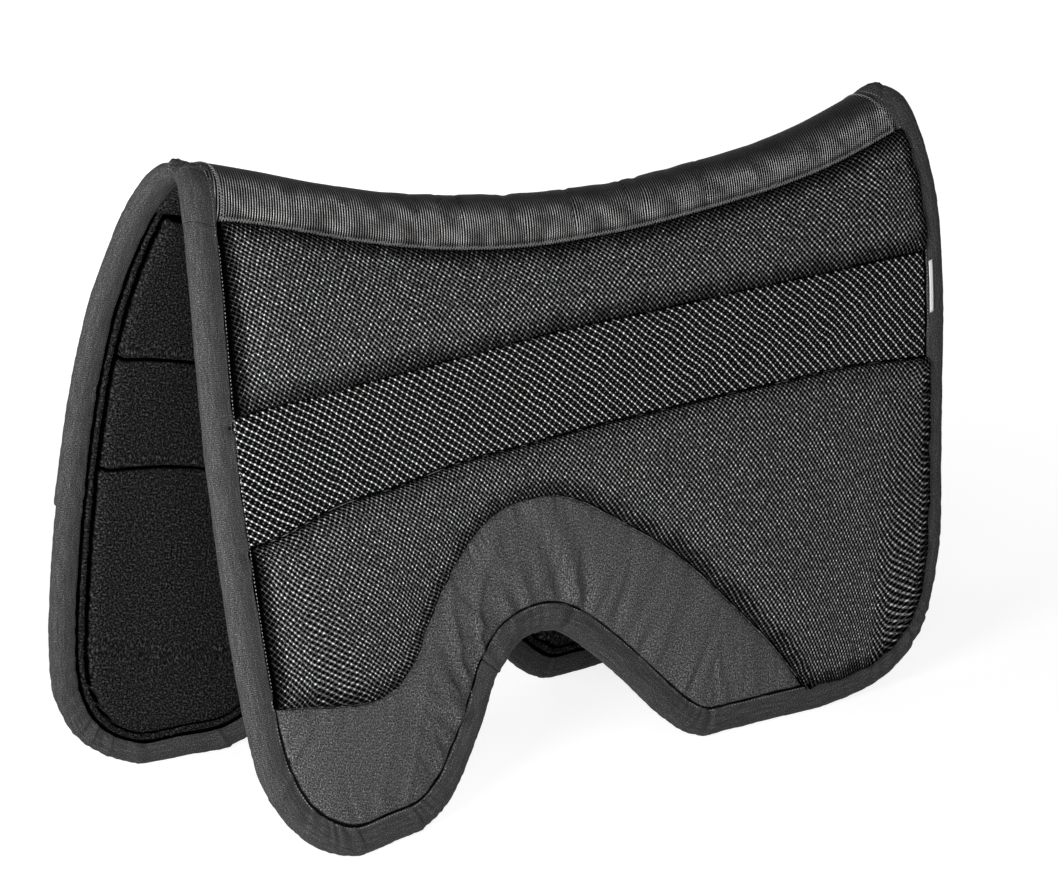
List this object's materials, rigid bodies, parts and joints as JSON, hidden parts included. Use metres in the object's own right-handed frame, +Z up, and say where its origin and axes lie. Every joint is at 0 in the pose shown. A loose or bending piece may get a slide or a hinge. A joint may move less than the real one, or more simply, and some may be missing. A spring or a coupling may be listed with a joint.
{
  "type": "western saddle pad",
  "caption": "Contoured western saddle pad: two padded mesh flaps with girth cut-outs, joined by a woven strip over the spine and bound with tape, standing on its lower edges.",
  "frame": {"origin": "on the floor, under the middle of the pad", "axes": "+X to the rear of the horse, along the spine; +Y to the off (right) flap; +Z up"},
  "size_m": [0.8003, 0.304, 0.5288],
  "materials": {
    "ribbed_webbing": "matte ribbed weave",
    "spacer_mesh": "matte fine spacer mesh",
    "coarse_mesh": "glossy coarse diamond mesh",
    "nylon_twill": "low sheen fine twill",
    "binding_tape": "matte woven tape",
    "felt_lining": "matte felt",
    "foam_insert": "matte open foam",
    "label_tape": "smooth satin tape"
  },
  "bodies": {
    "spine": {"spine_strip": "ribbed_webbing", "spine_foam": "foam_insert", "spine_lining": "felt_lining", "spine_front_binding": "binding_tape", "spine_rear_binding": "binding_tape"},
    "near_flap": {"near_upper_mesh_panel": "spacer_mesh", "near_mesh_band": "coarse_mesh", "near_lower_mesh_panel": "spacer_mesh", "near_wear_panel": "nylon_twill", "near_upper_foam": "foam_insert", "near_band_foam": "foam_insert", "near_lower_foam": "foam_insert", "near_lobe_foam": "foam_insert", "near_upper_lining": "felt_lining", "near_middle_lining": "felt_lining", "near_lower_lining": "felt_lining", "near_lobe_lining": "felt_lining", "near_rear_lining": "felt_lining", "near_front_binding": "binding_tape", "near_rear_binding": "binding_tape", "near_side_label": "label_tape"},
    "off_flap": {"off_upper_mesh_panel": "spacer_mesh", "off_mesh_band": "coarse_mesh", "off_lower_mesh_panel": "spacer_mesh", "off_wear_panel": "nylon_twill", "off_upper_foam": "foam_insert", "off_band_foam": "foam_insert", "off_lower_foam": "foam_insert", "off_lobe_foam": "foam_insert", "off_upper_lining": "felt_lining", "off_middle_lining": "felt_lining", "off_lower_lining": "felt_lining", "off_lobe_lining": "felt_lining", "off_rear_lining": "felt_lining", "off_front_binding": "binding_tape", "off_rear_binding": "binding_tape"}
  },
  "joints": [
    {"name": "near_flap_fold", "type": "hinge", "parent": "spine", "child": "near_flap", "pos_m": [-0.3335, -0.0414, 0.50476], "axis": [-0.9998, 0, 0.021], "range_deg": [0, 20]},
    {"name": "off_flap_fold", "type": "hinge", "parent": "spine", "child": "off_flap", "pos_m": [-0.3335, 0.0414, 0.50476], "axis": [0.9998, 0, -0.021], "range_deg": [0, 20]}
  ]
}
